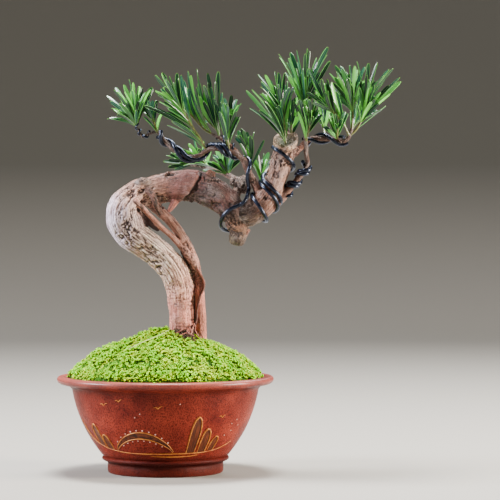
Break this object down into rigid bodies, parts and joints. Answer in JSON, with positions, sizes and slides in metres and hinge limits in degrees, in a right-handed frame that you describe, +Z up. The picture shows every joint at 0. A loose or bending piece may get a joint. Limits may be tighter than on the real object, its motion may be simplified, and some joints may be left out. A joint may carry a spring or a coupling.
{
  "type": "buddhist pine bonsai",
  "caption": "Wired bonsai tree with a curved trunk and tufts of strap leaves, growing in a mossy round clay pot.",
  "frame": {"origin": "on the surface that the pot stands on, under the middle of the whole object's box; the pot's axis is 53 mm towards -X", "axes": "+Z up along the pot's axis; +X to the right of the tree's front, the way the crown leans; the front faces -Y"},
  "size_m": [0.286, 0.18, 0.353],
  "materials": {
    "clay": "satin",
    "net": "matte",
    "soil": "matte",
    "moss": "matte",
    "bark": "matte",
    "wire": "satin",
    "leaf": "satin"
  },
  "bodies": {
    "root": {"pot": "clay", "drain_screen": "net", "soil": "soil", "moss": "moss", "tree_wood": "bark", "wire_left_anchor": "wire", "wire_left_second": "wire", "wire_left_tip": "wire", "wire_upper_twig": "wire", "wire_leader": "wire", "wire_leader_second": "wire", "wire_twig_second": "wire", "wire_right_first": "wire", "wire_right_second": "wire", "shoot_left_end": "leaf", "shoot_left_bud": "leaf", "shoot_left_long": "leaf", "shoot_left_mid": "leaf", "shoot_left_high": "leaf", "shoot_left_back": "leaf", "shoot_middle": "leaf", "shoot_middle_low": "leaf", "shoot_crotch": "leaf", "shoot_back_near": "leaf", "shoot_back_mid": "leaf", "shoot_back_end": "leaf", "shoot_top_left": "leaf", "shoot_top_back": "leaf", "shoot_crown": "leaf", "shoot_crown_low": "leaf", "shoot_right_fore": "leaf", "shoot_right_upright": "leaf", "shoot_right_low": "leaf", "shoot_right_end": "leaf", "shoot_right_back": "leaf", "shoot_far_back": "leaf"}
  },
  "joints": []
}
